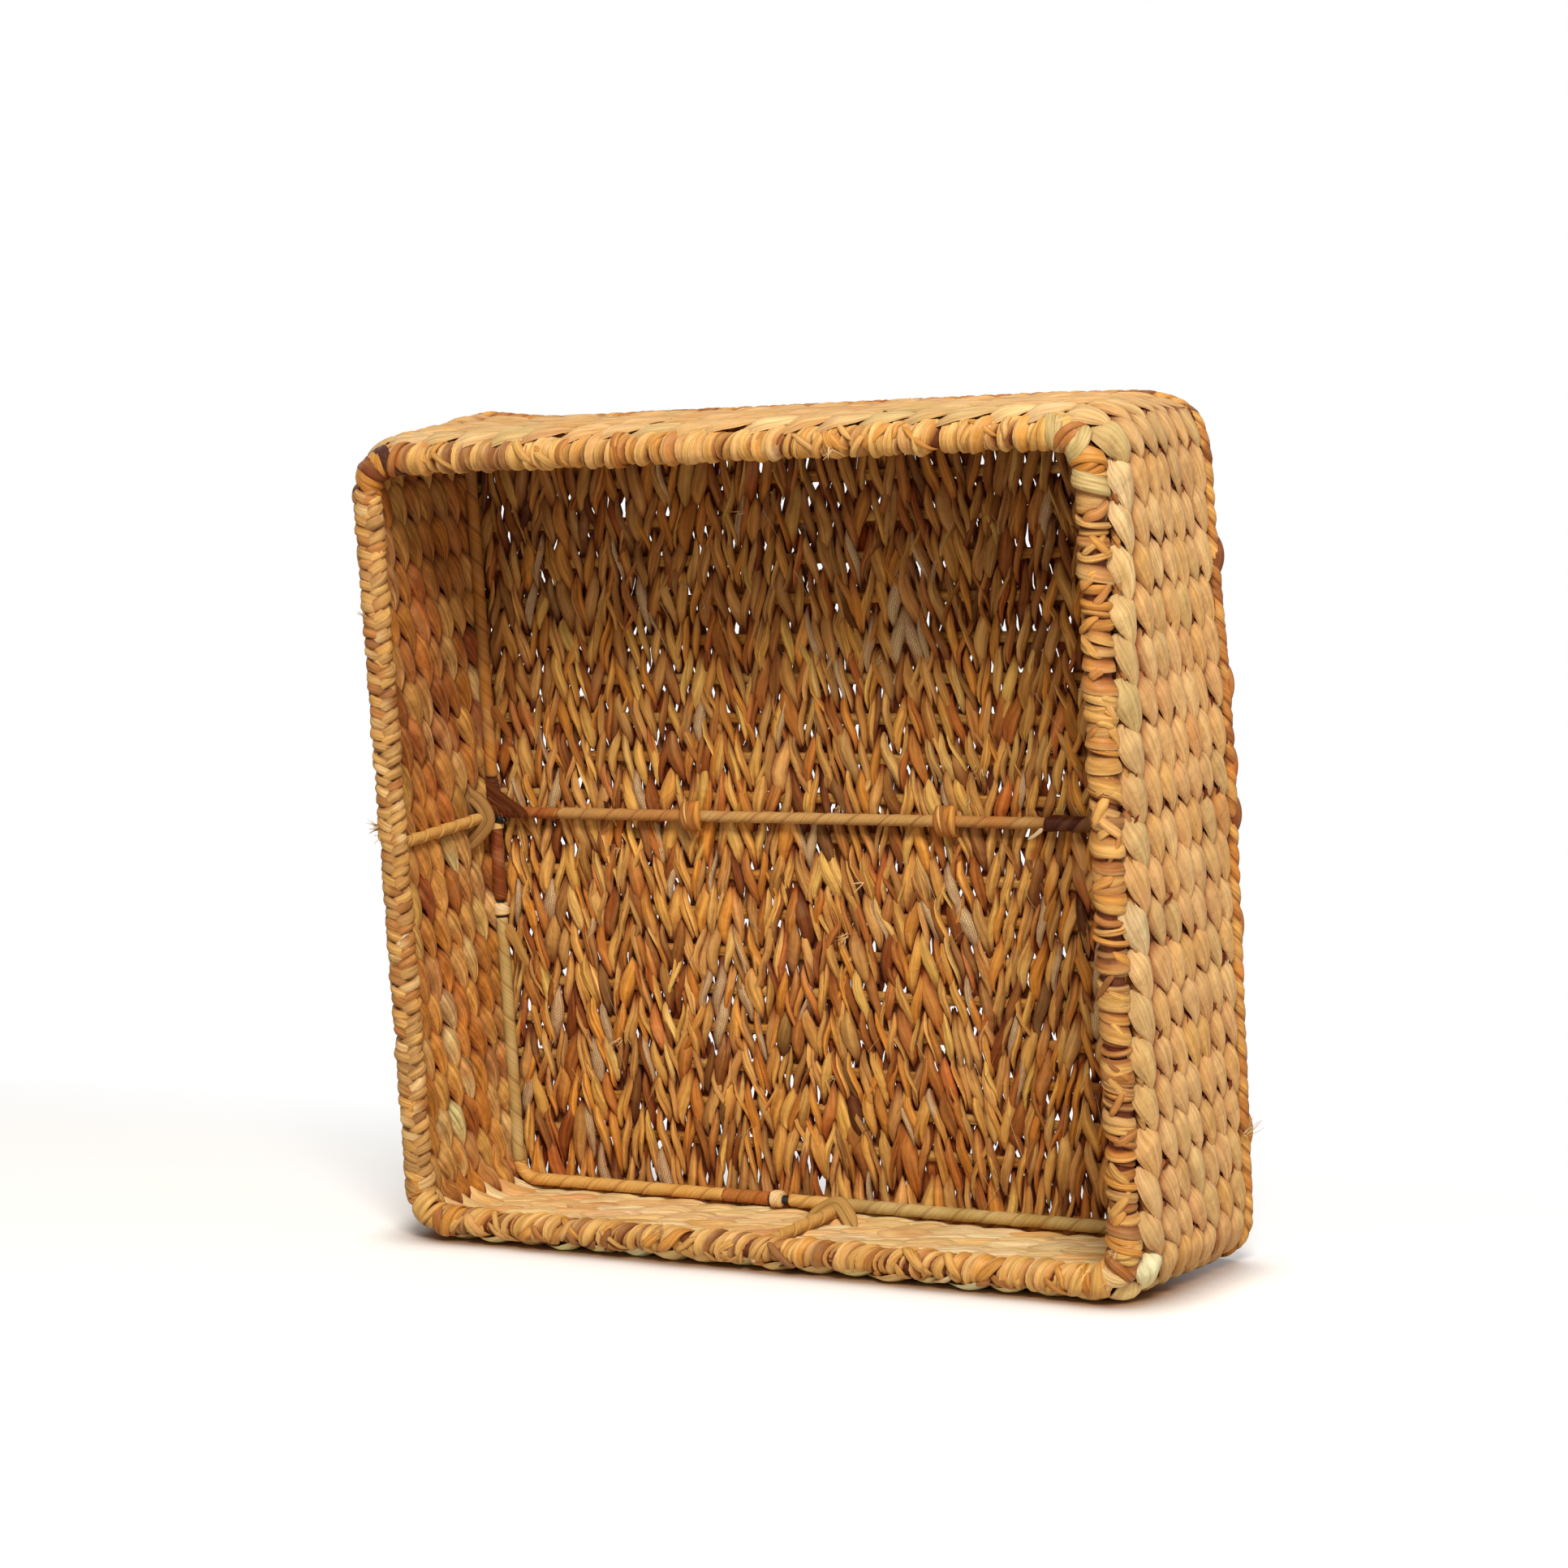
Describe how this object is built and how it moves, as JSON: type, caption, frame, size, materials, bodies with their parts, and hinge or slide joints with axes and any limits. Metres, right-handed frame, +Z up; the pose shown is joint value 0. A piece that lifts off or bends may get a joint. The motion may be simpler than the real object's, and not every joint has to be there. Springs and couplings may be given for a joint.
{
  "type": "square storage basket",
  "caption": "Shallow square storage basket of dried leaf woven over a welded wire frame, with a wrapped rim, standing on one side wall.",
  "frame": {"origin": "centre of the bounding box on the surface that the basket stands on, under its lower side wall", "axes": "+Z up, +Y from the open mouth towards the woven base, +X along the brace; the basket stands on one flared side wall, which tilts it by 5.16 degrees about +X"},
  "size_m": [0.3706, 0.137, 0.3695],
  "materials": {
    "black_steel": "satin",
    "honey_leaf": "matte",
    "straw_leaf": "matte",
    "brown_leaf": "matte",
    "red_leaf": "matte",
    "cream_leaf": "matte",
    "olive_leaf": "matte",
    "dark_tape": "satin"
  },
  "bodies": {
    "root": {"rim_wire": "black_steel", "base_wire": "black_steel", "cross_brace": "black_steel", "upright_right": "straw_leaf", "upright_top": "straw_leaf", "upright_left": "straw_leaf", "upright_bottom": "straw_leaf", "rim_whipping": "straw_leaf", "base_wrap_upper": "olive_leaf", "base_wrap_lower": "straw_leaf", "left_joint_wrap": "red_leaf", "left_joint_band": "cream_leaf", "left_cuff": "cream_leaf", "lower_cuff": "cream_leaf", "brace_wrap": "straw_leaf", "knot_left": "brown_leaf", "knot_right": "brown_leaf", "brace_end_tape": "dark_tape", "weft_outer_1": "honey_leaf", "weft_outer_2": "honey_leaf", "weft_outer_3": "honey_leaf", "weft_outer_4": "honey_leaf", "weft_outer_5": "honey_leaf", "weft_outer_6": "honey_leaf", "weft_outer_7": "honey_leaf", "weft_inner_1": "brown_leaf", "weft_inner_2": "brown_leaf", "weft_inner_3": "brown_leaf", "weft_inner_4": "brown_leaf", "weft_inner_5": "brown_leaf", "weft_inner_6": "brown_leaf", "weft_inner_7": "brown_leaf", "upright_loop_right": "olive_leaf", "upright_loop_top": "olive_leaf", "upright_loop_left": "olive_leaf", "upright_loop_bottom": "olive_leaf", "warp_01": "honey_leaf", "warp_02": "honey_leaf", "warp_03": "honey_leaf", "warp_04": "honey_leaf", "warp_05": "honey_leaf", "warp_06": "honey_leaf", "warp_07": "honey_leaf", "warp_08": "honey_leaf", "warp_09": "honey_leaf", "warp_10": "honey_leaf", "warp_11": "honey_leaf", "warp_12": "honey_leaf", "warp_13": "honey_leaf", "warp_14": "honey_leaf", "warp_15": "honey_leaf", "warp_16": "honey_leaf", "warp_17": "honey_leaf", "warp_18": "honey_leaf", "end_stakes_top": "honey_leaf", "end_stakes_bottom": "honey_leaf", "base_columns_front": "honey_leaf", "base_columns_back": "honey_leaf", "edge_roll": "brown_leaf"}
  },
  "joints": []
}
